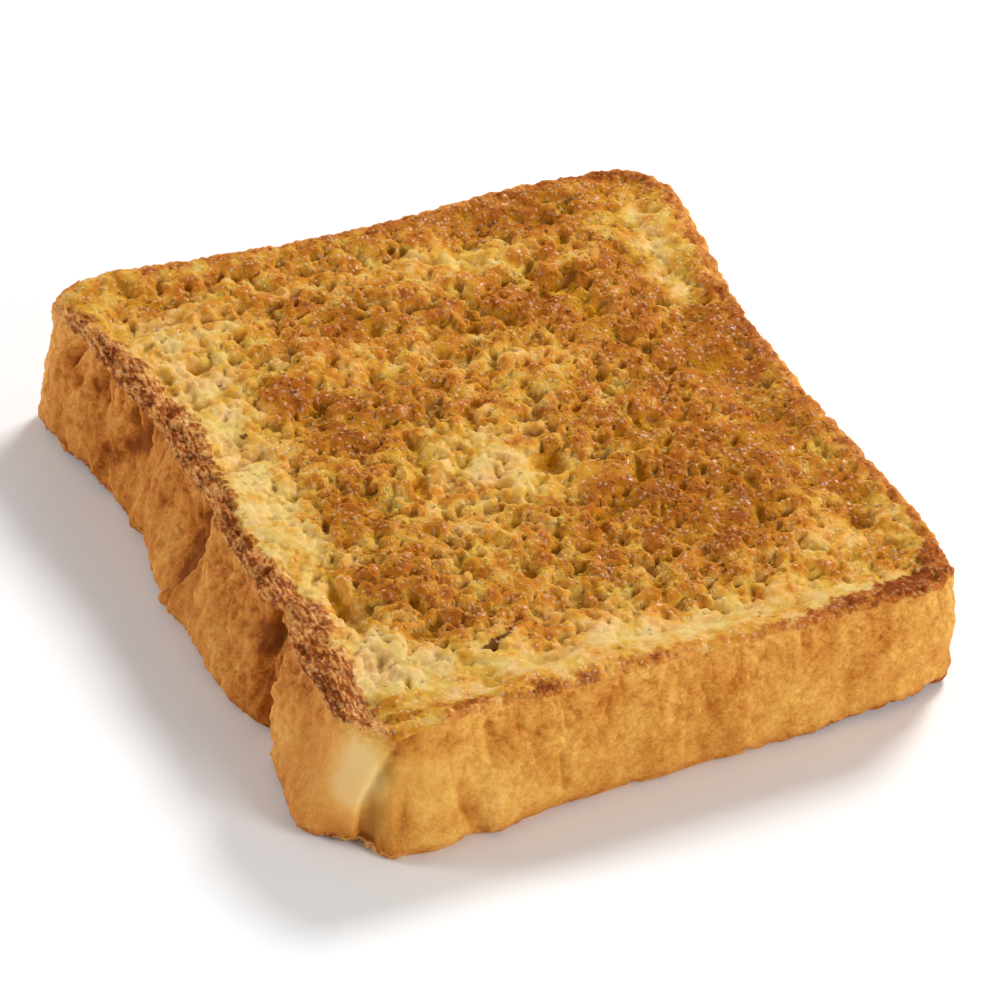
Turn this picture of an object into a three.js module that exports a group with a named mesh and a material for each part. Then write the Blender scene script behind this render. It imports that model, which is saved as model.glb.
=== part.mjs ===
// French toast: one thick slice of a tall pan loaf, soaked in egg and fried on both faces.
// Millimetres, +Z up. The slice lies on its fried underside, with the origin under its middle.
// -X is the side that has sagged into deep folds, +X the other long side, -Y the front crust and
// +Y the back crust. Crust and crumb are one piece of bread, so the slice is one solid.

import * as THREE from "three";
import { ImprovedNoise } from "three/addons/math/ImprovedNoise.js";
import { mergeGeometries, mergeVertices } from "three/addons/utils/BufferGeometryUtils.js";

const { degToRad, lerp, smoothstep } = THREE.MathUtils;

// ---- Driving dimensions ----

const WIDTH = 102; // between the two long sides, at the rim, before they draw in
const LENGTH = 127; // front crust to back crust at the rim
const THICK_LEFT = 23; // the loaf was cut a little unevenly
const THICK_RIGHT = 21;

// Each corner of the outline: its rounding, and how far the rim sags there.
const CORNERS = {
  frontLeft: { radius: 6.6, sag: 2.4 },
  frontRight: { radius: 8, sag: 0.6 },
  backLeft: { radius: 8, sag: 0.8 },
  backRight: { radius: 10.5, sag: 0.5 },
};
const CORNER_SAG_REACH = 10.5; // how far along the rim a corner's sag is felt
const CHAMFER_REACH = 75.7; // from the middle to the flat that cuts off the front left corner

// How far each crust bows in, and where along it the bow is deepest.
const LEFT_WAIST = { depth: 3, at: 11, half: 36 };
const RIGHT_WAIST = { depth: 4, at: 9, half: 32 };
const BACK_SAG = { depth: 3.4, at: -12, half: 32 };
const FRONT_SKEW = 3.2; // the front crust isn't square: this much further out at its left end
const LEFT_SKEW = 2.3; // nor is the left side: this much further out at its back end

// The crust wall, from the rim down to the base.
const LEFT_FLARE = 3.6; // how much wider the slice is low on its left side than at the rim
const RIGHT_FLARE = 0.6;
const END_FLARE = 0.8; // the same, on the front and back crusts
const FLARE_HEIGHT = 0.85; // share of the wall's height over which it flares
const BASE_TUCK = 1.5; // how far the wall curls back under at the base
const TUCK_HEIGHT = 0.12; // share of the wall's height that curls under

// The top edge: the crust rolls over into the rim, widely on the sagged side.
const LEFT_SHOULDER = { width: 5.6, drop: 2.3 };
const SHOULDER = { width: 2.4, drop: 0.9 };

// The fried face: a trough inside the rim, then the plateau that touched the pan.
const RIM_WIDTH = 3.8; // from the outer edge to where the trough begins
const TROUGH = { depth: 1.9, at: 8.5, end: 17 };
const WANDER = { by: 2.2, size: 11 }; // how far the rim and the trough wander in and out
const PLATEAU_DROP = 0.7; // plateau below the rim
const LUMP = { height: 0.9, size: 9.4 }; // the crumb's broad lumps
const CLOT = { height: 0.5, size: 5.3 }; // and the smaller ones on them

// Hollows torn or pressed into the crumb: their middle, half length, half width, turn and depth.
const HOLLOWS = [
  { x: 5, y: -10, long: 7.5, wide: 2.5, turn: -12, depth: 2.1 },
  { x: -13, y: -11, long: 3.4, wide: 2.3, turn: 60, depth: 1.6 },
  { x: -38, y: -31, long: 7.5, wide: 2.1, turn: -75, depth: 2 },
  { x: -6, y: -43, long: 4.7, wide: 2.1, turn: 8, depth: 1.7 },
  { x: -25, y: -44, long: 5.6, wide: 2, turn: 10, depth: 1.2 },
  { x: 28, y: 2, long: 5.6, wide: 2.5, turn: -30, depth: 1.1 },
  { x: -19, y: 19, long: 5.6, wide: 2.5, turn: 15, depth: 1 },
  { x: 11, y: 28, long: 6.6, wide: 2.5, turn: -10, depth: 1 },
];

// Folds in the sagged left side. Each runs from the rim to the base, drawn in steeply on its
// front edge and gently behind it, is deepest at a share of the wall's height, and draws the
// rim in with it.
const FOLDS = [
  { rimY: 38, baseY: 35, depth: 1.2, front: 2.1, behind: 5.6, deepest: 0.8, rim: 0 },
  { rimY: 20, baseY: 28, depth: 2, front: 2.4, behind: 7.5, deepest: 0.45, rim: 0.8 },
  { rimY: -4, baseY: 7, depth: 2.8, front: 1.7, behind: 10, deepest: 0.5, rim: 0.4 },
  { rimY: -33, baseY: -36, depth: 3.6, front: 1.9, behind: 6, deepest: 0.7, rim: 2.2 },
];
const FOLD_BREADTH = 0.42; // share of the wall's height over which a fold keeps its depth

// Where the crust bulges low on the wall or, with a minus, is tucked in: the middle of each, how
// far it stands out, and half its width.
const BULGES = [
  { x: -38, y: -66, out: 1.8, half: 5 },
  { x: -27, y: -65, out: 2.4, half: 3.6 },
  { x: 51, y: -60, out: -2.2, half: 9 },
  { x: -54, y: 62, out: -1.6, half: 9 },
  { x: -49, y: 29, out: -0.8, half: 9 },
  { x: -49, y: 9, out: 1.8, half: 7 },
  { x: -49, y: -8, out: 1.6, half: 11 },
  { x: -49, y: -36, out: -1.4, half: 6 },
  { x: -49, y: -54, out: 2.2, half: 6 },
  { x: -45, y: -63, out: -1.6, half: 4 },
];
const BULGE_TOP = 0.62; // share of the wall's height where they have died away

const RIPPLE = { depth: 0.7, size: 7.5 }; // upright ripples all round the crust
const WRINKLE = { depth: 1.5, size: 16 }; // broad slack in the two long sides
const WRINKLE_LEAN = 0.35; // how far a wrinkle leans for each millimetre of height

// ---- How finely the solid is cut ----

const ACROSS = 46; // faces across the slice
const ALONG = 56; // faces along it
const WALL_STEPS = [0, 0.05, 0.14, 0.28, 0.42, 0.56, 0.7, 0.83, 0.93, 1]; // shares of the height

const grain = new ImprovedNoise();

// A smooth random value from about -1 to 1 that changes over size millimetres.
function ramble(x, y, size, seed) {
  return 1.6 * grain.noise(x / size, y / size, seed);
}

// A bell, 1 at the middle and almost 0 at twice the half width.
function bell(distance, half) {
  return Math.exp(-((distance / half) ** 2));
}

function rimHeight(x, y) {
  const level = lerp(THICK_LEFT, THICK_RIGHT, x / WIDTH + 0.5);
  let sag = 0;
  for (const [name, corner] of Object.entries(CORNERS)) {
    const cornerX = (name.endsWith("Left") ? -WIDTH : WIDTH) / 2;
    const cornerY = (name.startsWith("front") ? -LENGTH : LENGTH) / 2;
    sag += corner.sag * bell(Math.hypot(x - cornerX, y - cornerY), CORNER_SAG_REACH);
  }
  return level - sag + 0.35 * ramble(x, y, 14, 3.5);
}

// ---- The outline at the rim, over the edge of a square whose u and v run from -1 to 1 ----

function cornerAt(u, v) {
  if (v < 0) return u < 0 ? CORNERS.frontLeft : CORNERS.frontRight;
  return u < 0 ? CORNERS.backLeft : CORNERS.backRight;
}

function roundedRectangle(u, v) {
  const { radius } = cornerAt(u, v);
  const point = new THREE.Vector2((u * WIDTH) / 2, (v * LENGTH) / 2);
  const reach = new THREE.Vector2(WIDTH / 2 - radius, LENGTH / 2 - radius);
  const core = point.clone().clamp(reach.clone().negate(), reach);
  return core.add(point.sub(core).setLength(radius));
}

function drawIn(y, waist) {
  return waist.depth * bell(y - waist.at, waist.half);
}

// How far the folds of the left side pull the rim in.
function rimFolds(y) {
  return FOLDS.reduce((sum, fold) => sum + fold.rim * bell(y - fold.rimY, fold.front + 1), 0);
}

function outline(u, v) {
  const p = roundedRectangle(u, v);
  const overhang = (-p.x - p.y) / Math.SQRT2 - CHAMFER_REACH;
  if (overhang > 0) p.addScalar(overhang / Math.SQRT2);
  const nearSide = smoothstep(Math.abs(p.x), WIDTH / 2 - 13, WIDTH / 2);
  const nearEnd = smoothstep(Math.abs(p.y), LENGTH / 2 - 13, LENGTH / 2);
  if (p.x < 0) p.x += nearSide * (drawIn(p.y, LEFT_WAIST) + rimFolds(p.y) - (LEFT_SKEW * p.y) / (LENGTH / 2));
  else p.x -= nearSide * drawIn(p.y, RIGHT_WAIST);
  if (p.y > 0) p.y -= nearEnd * drawIn(p.x, BACK_SAG);
  else p.y += (nearEnd * FRONT_SKEW * p.x) / (WIDTH / 2);
  return p;
}

// The whole face, stretched between its four edges.
function facePoint(u, v) {
  const s = (u + 1) / 2;
  const t = (v + 1) / 2;
  const at = (a, b, share) => a.clone().lerp(b, share);
  const ends = at(outline(u, -1), outline(u, 1), t);
  const sides = at(outline(-1, v), outline(1, v), s);
  const corners = at(at(outline(-1, -1), outline(1, -1), s), at(outline(-1, 1), outline(1, 1), s), t);
  return ends.add(sides).sub(corners);
}

// How much a place belongs to the left side, from 0 to 1.
function leftness(x) {
  return smoothstep(-x, WIDTH / 2 - 11, WIDTH / 2 - 5);
}

// ---- The fried face ----

// Distance from a face point to the outline: the nearest edges blended, so no mitre shows.
function edgeDistance(u, v, point) {
  const edges = [outline(u, -1), outline(u, 1), outline(-1, v), outline(1, v)];
  const nearness = edges.reduce((sum, edge) => sum + Math.max(edge.distanceTo(point), 1e-6) ** -4, 0);
  return nearness ** -0.25;
}

function hollowDepth(x, y) {
  let depth = 0;
  for (const hollow of HOLLOWS) {
    const place = new THREE.Vector2(x - hollow.x, y - hollow.y);
    place.rotateAround(new THREE.Vector2(), degToRad(-hollow.turn));
    depth += hollow.depth * bell(Math.hypot(place.x / hollow.long, place.y / hollow.wide), 1);
  }
  return depth;
}

// Drop from the rim to the face at a distance from the outline.
function rimProfile(distance, x, y) {
  const left = leftness(x);
  const width = lerp(SHOULDER.width, LEFT_SHOULDER.width, left);
  const drop = lerp(SHOULDER.drop, LEFT_SHOULDER.drop, left);
  const roll = drop * Math.max(0, 1 - distance / width) ** 2;
  const start = RIM_WIDTH + left * (LEFT_SHOULDER.width - SHOULDER.width);
  const inward = distance + WANDER.by * ramble(x, y, WANDER.size, 31.7) * smoothstep(distance, 0, start);
  const depth = TROUGH.depth * (1 + 0.5 * ramble(x, y, WANDER.size, 44.1));
  const into = smoothstep(inward, start * 0.6, TROUGH.at);
  const outOf = smoothstep(inward, TROUGH.at * 0.8, TROUGH.end);
  return roll + depth * into - (depth - PLATEAU_DROP) * outOf;
}

function faceHeight(u, v, point) {
  const { x, y } = point;
  const distance = edgeDistance(u, v, point);
  const inside = smoothstep(distance, RIM_WIDTH * 0.5, TROUGH.at);
  const lumps = LUMP.height * ramble(x, y, LUMP.size, 7.3) + CLOT.height * ramble(x, y, CLOT.size, 1.9);
  return rimHeight(x, y) - rimProfile(distance, x, y) + inside * (lumps - hollowDepth(x, y));
}

// ---- The crust wall ----

// How far the folds draw the left side in at a height given as a share of the wall.
function foldDepth(y, share) {
  let depth = 0;
  for (const fold of FOLDS) {
    const past = y - lerp(fold.baseY, fold.rimY, share);
    const half = past < 0 ? fold.front : fold.behind;
    depth += fold.depth * bell(past, half) * bell(share - fold.deepest, FOLD_BREADTH);
  }
  return depth;
}

function bulgeReach(edge, share) {
  const low = 1 - smoothstep(share, BULGE_TOP / 3, BULGE_TOP);
  let reach = 0;
  for (const { x, y, out, half } of BULGES) reach += out * bell(Math.hypot(edge.x - x, edge.y - y), half);
  return low * reach;
}

// How far the wall stands out from the outline: edge is the outline's point, out its way outwards.
function wallReach(edge, out, share) {
  const height = share * rimHeight(edge.x, edge.y);
  const leftFacing = Math.max(0, -out.x);
  const sideFacing = Math.abs(out.x);
  const flare = leftFacing * LEFT_FLARE + Math.max(0, out.x) * RIGHT_FLARE + Math.abs(out.y) * END_FLARE;
  const belly = smoothstep(1 - share, 0, FLARE_HEIGHT);
  const tuck = BASE_TUCK * Math.max(0, 1 - share / TUCK_HEIGHT) ** 2;
  const ripple = RIPPLE.depth * ramble(edge.x, edge.y + 0.3 * height, RIPPLE.size, 11.4);
  const lean = edge.y - WRINKLE_LEAN * height;
  const wrinkle = WRINKLE.depth * sideFacing * ramble(lean, height * 0.4, WRINKLE.size, 20.5 + out.x);
  const free = smoothstep(1 - share, 0, 0.3); // the rim itself stays on the outline
  const folds = leftFacing * foldDepth(edge.y, share);
  return flare * belly - tuck + bulgeReach(edge, share) + free * (ripple + wrinkle - folds);
}

// ---- The solid ----

// The square's edge as one walk round, counter-clockwise from the front left corner.
function squareEdge() {
  const walk = [];
  for (let i = 0; i < ACROSS; i++) walk.push([-1 + (2 * i) / ACROSS, -1]);
  for (let i = 0; i < ALONG; i++) walk.push([1, -1 + (2 * i) / ALONG]);
  for (let i = 0; i < ACROSS; i++) walk.push([1 - (2 * i) / ACROSS, 1]);
  for (let i = 0; i < ALONG; i++) walk.push([-1, 1 - (2 * i) / ALONG]);
  return walk;
}

function friedFace() {
  const face = new THREE.PlaneGeometry(2, 2, ACROSS, ALONG);
  const position = face.getAttribute("position");
  for (let i = 0; i < position.count; i++) {
    const u = position.getX(i);
    const v = position.getY(i);
    const point = facePoint(u, v);
    position.setXYZ(i, point.x, point.y, faceHeight(u, v, point));
  }
  return face;
}

// Rings of points down the wall, the last one the same as the rim of the fried face.
function wallRings() {
  const walk = squareEdge();
  const rim = walk.map(([u, v]) => {
    const point = facePoint(u, v);
    return new THREE.Vector3(point.x, point.y, faceHeight(u, v, point));
  });
  const outward = rim.map((_, i) => {
    const before = rim.at(i - 1);
    const after = rim[(i + 1) % rim.length];
    return new THREE.Vector2(after.y - before.y, before.x - after.x).normalize();
  });
  return WALL_STEPS.map((share) =>
    rim.map((edge, i) => {
      const reach = share === 1 ? 0 : wallReach(edge, outward[i], share);
      const at = new THREE.Vector2(edge.x, edge.y).addScaledVector(outward[i], reach);
      return new THREE.Vector3(at.x, at.y, edge.z * share);
    }),
  );
}

function crustWall(rings) {
  const columns = rings[0].length;
  const wall = new THREE.PlaneGeometry(1, 1, columns, rings.length - 1);
  const position = wall.getAttribute("position");
  for (let i = 0; i < position.count; i++) {
    const column = i % (columns + 1);
    const row = Math.floor(i / (columns + 1)); // the plane's first row is its top
    const point = rings[rings.length - 1 - row][column % columns];
    position.setXYZ(i, point.x, point.y, point.z);
  }
  return wall;
}

function underside(base) {
  const cap = new THREE.ShapeGeometry(new THREE.Shape(base.map((p) => new THREE.Vector2(p.x, p.y))));
  const index = cap.getIndex();
  for (let i = 0; i < index.count; i += 3) {
    const second = index.getX(i + 1);
    index.setX(i + 1, index.getX(i + 2));
    index.setX(i + 2, second);
  }
  return cap;
}

function sliceGeometry() {
  const rings = wallRings();
  const skins = [friedFace(), crustWall(rings), underside(rings[0])];
  for (const skin of skins) {
    skin.deleteAttribute("normal");
    skin.deleteAttribute("uv");
  }
  const slice = mergeVertices(mergeGeometries(skins), 1e-3);
  slice.computeBoundingBox();
  const middle = slice.boundingBox.getCenter(new THREE.Vector3());
  slice.translate(-middle.x, -middle.y, -slice.boundingBox.min.z);
  slice.computeVertexNormals();
  return slice;
}

const friedBread = new THREE.MeshStandardMaterial({
  name: "fried_bread",
  color: 0xc98a35,
  roughness: 0.6,
  metalness: 0,
});

const slice = new THREE.Mesh(sliceGeometry(), friedBread);
slice.name = "slice";

const frenchToast = new THREE.Group();
frenchToast.add(slice);

export default frenchToast;
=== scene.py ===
# %% [markdown]
# # A slice of french toast
# One thick slice of pan loaf, soaked in egg and fried on both faces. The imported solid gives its
# size, its outline and its big folds. This lesson dresses that solid: it makes the mesh fine
# enough to carry crumb, browns it where the pan touched it, and lights it as in a studio.

# %% Load the frame
import math

import bmesh
import bpy
import numpy as np
from mathutils import Matrix, Vector, kdtree
from mathutils.bvhtree import BVHTree


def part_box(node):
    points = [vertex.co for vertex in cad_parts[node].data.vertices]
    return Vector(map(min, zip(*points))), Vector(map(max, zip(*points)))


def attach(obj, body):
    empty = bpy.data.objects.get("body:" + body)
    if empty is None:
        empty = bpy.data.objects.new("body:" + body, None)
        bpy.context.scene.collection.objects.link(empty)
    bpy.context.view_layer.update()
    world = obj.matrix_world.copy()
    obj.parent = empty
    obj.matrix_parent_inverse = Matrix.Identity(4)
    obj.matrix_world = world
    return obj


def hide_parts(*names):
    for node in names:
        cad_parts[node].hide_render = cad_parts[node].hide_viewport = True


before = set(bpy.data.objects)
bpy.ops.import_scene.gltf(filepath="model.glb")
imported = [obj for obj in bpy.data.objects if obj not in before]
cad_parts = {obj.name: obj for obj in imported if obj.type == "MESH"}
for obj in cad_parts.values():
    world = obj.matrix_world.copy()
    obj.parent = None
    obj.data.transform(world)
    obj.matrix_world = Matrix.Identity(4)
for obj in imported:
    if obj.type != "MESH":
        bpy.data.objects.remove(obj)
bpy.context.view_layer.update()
MM = 0.001
low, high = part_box("slice")
print("slice in mm:", [round((b - a) / MM, 1) for a, b in zip(low, high)])

# %% [markdown]
# ## Camera and light
# Food is mostly shot with a long lens from a seated eye's height, because a long lens keeps the
# slice's edges nearly parallel. The main light is a soft panel behind the slice on the right: it
# rakes the crumb and makes it read as rough. Two weaker panels light the walls, and a white room
# fills the shadows. A sun lamp would be simpler, but would throw hard shadows.

# %% The camera
AIM = Vector((0.2, -0.7, 11.0)) * MM
CAMERA_AZIMUTH = math.radians(21.52)
CAMERA_ELEVATION = math.radians(35.54)
CAMERA_DISTANCE = 1214 * MM
LENS = 286.6

towards = Vector((
    math.sin(CAMERA_AZIMUTH) * math.cos(CAMERA_ELEVATION),
    math.cos(CAMERA_AZIMUTH) * math.cos(CAMERA_ELEVATION),
    -math.sin(CAMERA_ELEVATION),
))
camera_data = bpy.data.cameras.new("camera")
camera_data.lens = LENS
camera_data.clip_end = 20
camera = bpy.data.objects.new("camera", camera_data)
camera.location = AIM - towards * CAMERA_DISTANCE
camera.rotation_euler = towards.to_track_quat("-Z", "Y").to_euler()
bpy.context.collection.objects.link(camera)
bpy.context.scene.camera = camera
print("camera at", [round(v / MM) for v in camera.location], "mm")


# %% The lights
def softbox(name, place, size, power):
    light = bpy.data.lights.new(name, "AREA")
    light.shape = "DISK"
    light.size = size
    light.energy = power
    lamp = bpy.data.objects.new(name, light)
    lamp.location = place
    lamp.rotation_euler = (-Vector(place)).to_track_quat("-Z", "Y").to_euler()
    bpy.context.collection.objects.link(lamp)


softbox("key_light", (0.64, 0.46, 0.74), 0.32, 9.3)
softbox("front_fill", (0.42, -0.90, 0.40), 0.45, 6.3)
softbox("left_fill", (-0.85, 0.40, 0.36), 0.4, 4.2)
print("soft panels:", ", ".join(light.name for light in bpy.data.lights))
room = bpy.data.worlds.new("white_room")
room.use_nodes = True
white = room.node_tree.nodes["Background"].inputs
white["Color"].default_value = (1, 1, 1, 1)
white["Strength"].default_value = 0.30
bpy.context.scene.world = room
bpy.context.scene.view_settings.view_transform = "Standard"


# %% [markdown]
# ## Writing nodes as sums
# Trees of nodes can be written out link by link, but arithmetic is easier to read. `Value` wraps
# a socket, so that `a * 2 + b` adds the Math nodes for it. `Tree.node` makes any other node from
# its type, settings and sockets.

# %% A small language for node trees
class Value:
    """One output socket. Arithmetic on it adds Math nodes to its tree."""

    def __init__(self, tree, socket):
        self.tree = tree
        self.socket = socket

    def math(self, operation, *values):
        return self.tree.node("ShaderNodeMath", {"operation": operation}, dict(enumerate(values)))[0]

    def __add__(self, other):
        return self.math("ADD", self, other)

    def __sub__(self, other):
        return self.math("SUBTRACT", self, other)

    def __rsub__(self, other):
        return self.math("SUBTRACT", other, self)

    def __mul__(self, other):
        return self.math("MULTIPLY", self, other)

    __radd__ = __add__
    __rmul__ = __mul__

    def least(self, other):
        return self.math("MINIMUM", self, other)

    def most(self, other):
        return self.math("MAXIMUM", self, other)

    def size(self):
        return self.math("ABSOLUTE", self)

    def between(self, start, end, low=0.0, high=1.0):
        """A smooth step: low up to start, high from end on."""
        sockets = {"Value": self, "From Min": start, "From Max": end, "To Min": low, "To Max": high}
        return self.tree.node("ShaderNodeMapRange", {"interpolation_type": "SMOOTHSTEP"}, sockets)[0]


class Tree:
    """Adds nodes to one node tree."""

    def __init__(self, node_tree):
        self.nodes = node_tree.nodes
        self.links = node_tree.links

    def node(self, kind, settings=None, sockets=None):
        """Makes a node and returns its outputs. Settings come first: they change the sockets."""
        made = self.nodes.new(kind)
        for name, value in (settings or {}).items():
            if name == "stops":
                for _ in value[2:]:
                    made.color_ramp.elements.new(1.0)
                for element, (place, colour) in zip(made.color_ramp.elements, value):
                    element.position = place
                    element.color = (*colour, 1)
            else:
                setattr(made, name, value)
        for name, value in (sockets or {}).items():
            if isinstance(value, Value):
                self.links.new(value.socket, made.inputs[name])
            else:
                made.inputs[name].default_value = value
        return Outputs(self, made)

    def named(self, name):
        """A stored number of the mesh, in a geometry tree."""
        return self.node("GeometryNodeInputNamedAttribute", {"data_type": "FLOAT"}, {"Name": name})[0]

    def vector(self, operation, *values):
        return self.node("ShaderNodeVectorMath", {"operation": operation}, dict(enumerate(values)))[0]

    def scaled(self, vector, by):
        return self.node("ShaderNodeVectorMath", {"operation": "SCALE"}, {0: vector, "Scale": by})[0]

    def shifted(self, place, seed):
        return self.vector("ADD", place, (seed * 31.7, seed * -17.3, seed * 7.9))

    def split(self, vector):
        """The X, Y and Z of a vector."""
        return self.node("ShaderNodeSeparateXYZ", None, {0: vector})

    def joined(self, x, y, z):
        return self.node("ShaderNodeCombineXYZ", None, {"X": x, "Y": y, "Z": z})[0]

    def noise(self, place, size, detail, seed, output="Fac"):
        """Smooth noise round 0.5 that changes over size."""
        sockets = {"Vector": self.shifted(place, seed), "Scale": 1 / size, "Detail": detail}
        return self.node("ShaderNodeTexNoise", None, sockets)[output]

    def domes(self, place, size, seed, soft):
        """Rounded lumps of about one size: 1 on their tops, falling to about 0 between them."""
        sockets = {"Vector": self.shifted(place, seed), "Scale": 1 / size, "Smoothness": soft}
        far = self.node("ShaderNodeTexVoronoi", {"feature": "SMOOTH_F1"}, sockets)["Distance"]
        return (1 - far * far * 1.7).most(0.0)

    def rounded(self, dome):
        """Makes a peaked dome blunt, like a pebble."""
        return dome.math("POWER", dome, 0.6)

    def cells(self, place, size, seed):
        """Nearest of many scattered points: how far it is, in cell sizes, and a number of its own."""
        sockets = {"Vector": self.shifted(place, seed), "Scale": 1 / size}
        made = self.node("ShaderNodeTexVoronoi", None, sockets)
        return made["Distance"], self.split(made["Color"])["X"]

    def bubbles(self, place, size, share, radius, seed):
        """Round hollows in a share of the cells: 1 in the middle, falling steeply to 0 at radius."""
        far, own = self.cells(place, size, seed)
        return far.between(radius * 0.45, radius, 1.0, 0.0) * own.between(share - 0.02, share, 1.0, 0.0)

    def mix(self, share, first, second, blend="MIX"):
        sockets = {"Factor": share, "A": first, "B": second}
        return self.node("ShaderNodeMix", {"data_type": "RGBA", "blend_type": blend}, sockets)[0]

    def ramp(self, stops, tone):
        """The colour that a tone has on a ramp of colours."""
        return self.node("ShaderNodeValToRGB", {"stops": stops}, {"Fac": tone})["Color"]


class Outputs:
    """The outputs of one node, by name or by number among those in use."""

    def __init__(self, tree, made):
        self.tree = tree
        self.made = made

    def __getitem__(self, key):
        outputs = self.made.outputs
        if isinstance(key, int):
            outputs = [output for output in outputs if output.enabled]
        return Value(self.tree, outputs[key])


# %% [markdown]
# ## The body of the slice
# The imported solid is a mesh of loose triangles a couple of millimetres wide. Crumb needs points
# closer than half a millimetre. Subdividing would keep the facets, so a copy is joined up,
# remeshed into an even grid of small squares, and smoothed until the facets are gone. The solid
# itself stays as it was.

# %% A fine, even copy of the solid
GRID = 0.36 * MM
FACET_PASSES = 14


def mesh_copy(name, node):
    body = bmesh.new()
    body.from_mesh(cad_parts[node].data)
    bmesh.ops.remove_doubles(body, verts=body.verts, dist=0.01 * MM)
    mesh = bpy.data.meshes.new(name)
    body.to_mesh(mesh)
    body.free()
    piece = bpy.data.objects.new(name, mesh)
    bpy.context.collection.objects.link(piece)
    return piece


def baked(piece):
    """Applies a piece's modifiers: the result is a plain mesh."""
    graph = bpy.context.evaluated_depsgraph_get()
    graph.update()
    old = piece.data
    mesh = bpy.data.meshes.new_from_object(piece.evaluated_get(graph))
    piece.modifiers.clear()
    piece.data = mesh
    bpy.data.meshes.remove(old)
    return piece


bread = mesh_copy("bread", "slice")
grid = bread.modifiers.new("grid", "REMESH")
grid.mode = "VOXEL"
grid.voxel_size = GRID
ease = bread.modifiers.new("ease", "SMOOTH")
ease.factor = 0.5
ease.iterations = FACET_PASSES
baked(bread)
print("fine copy:", len(bread.data.vertices), "points")


# %% [markdown]
# ## A number for every point
# Where the slice is brown, pitted or creased is decided point by point, and stored on the mesh
# under a name that the node trees can read. A Python loop over so many points is slow, so numpy
# arrays do it.

# %% Reading and writing the mesh as arrays
def points_of(piece):
    flat = np.empty(len(piece.data.vertices) * 3, np.float32)
    piece.data.vertices.foreach_get("co", flat)
    return flat.reshape(-1, 3) / MM


def normals_of(piece):
    flat = np.empty(len(piece.data.vertices) * 3, np.float32)
    piece.data.vertex_normals.foreach_get("vector", flat)
    return flat.reshape(-1, 3)


def store(piece, name, values):
    layer = piece.data.attributes.get(name) or piece.data.attributes.new(name, "FLOAT", "POINT")
    layer.data.foreach_set("value", values.astype(np.float32))


def smooth_step(values, start, end):
    share = np.clip((values - start) / (end - start), 0, 1)
    return share * share * (3 - 2 * share)


def spread(piece, values, passes):
    """Blurs a number over the mesh by averaging along its edges."""
    ends = np.empty(len(piece.data.edges) * 2, np.int32)
    piece.data.edges.foreach_get("vertices", ends)
    a, b = ends.reshape(-1, 2).T
    count = np.bincount(a, minlength=len(values)) + np.bincount(b, minlength=len(values))
    for _ in range(passes):
        total = np.bincount(a, values[b], len(values)) + np.bincount(b, values[a], len(values))
        values = total / count
    return values


# %% [markdown]
# ## Where the rim runs
# Most of what follows depends on how far a point is from the rim: the crust's brown edge, the
# pale trough inside it, the crumb beyond. The line could be drawn by hand, but rays shot at the
# wall from outside, just under the top edge, find it on the mesh itself.

# %% The rim's line, and each point's distance from it
RIM_LEVEL = 18.5
RIM_RAYS = 1800

graph = bpy.context.evaluated_depsgraph_get()
graph.update()
solid = BVHTree.FromObject(bread, graph)
nearest = kdtree.KDTree(RIM_RAYS)
for index, turn in enumerate(np.linspace(0, 2 * math.pi, RIM_RAYS, endpoint=False)):
    ray = Vector((math.cos(turn), math.sin(turn), 0))
    hit, *_ = solid.ray_cast(ray * 0.2 + Vector((0, 0, RIM_LEVEL * MM)), -ray)
    nearest.insert((hit.x / MM, hit.y / MM, 0), index)
nearest.balance()
points = points_of(bread)
normals = normals_of(bread)
x, y, z = points.T
gap = np.array([nearest.find((a, b, 0))[2] for a, b, _ in points])
top = spread(bread, smooth_step(normals[:, 2], 0.35, 0.7) * smooth_step(z, 15, 18), 3)
bottom = spread(bread, smooth_step(-normals[:, 2], 0.35, 0.7) * smooth_step(-z, -7, -4), 3)
store(bread, "gap", gap)
store(bread, "top", top)
store(bread, "bottom", bottom)
print("longest way in from the rim:", round(float(gap.max()), 1), "mm")
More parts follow.
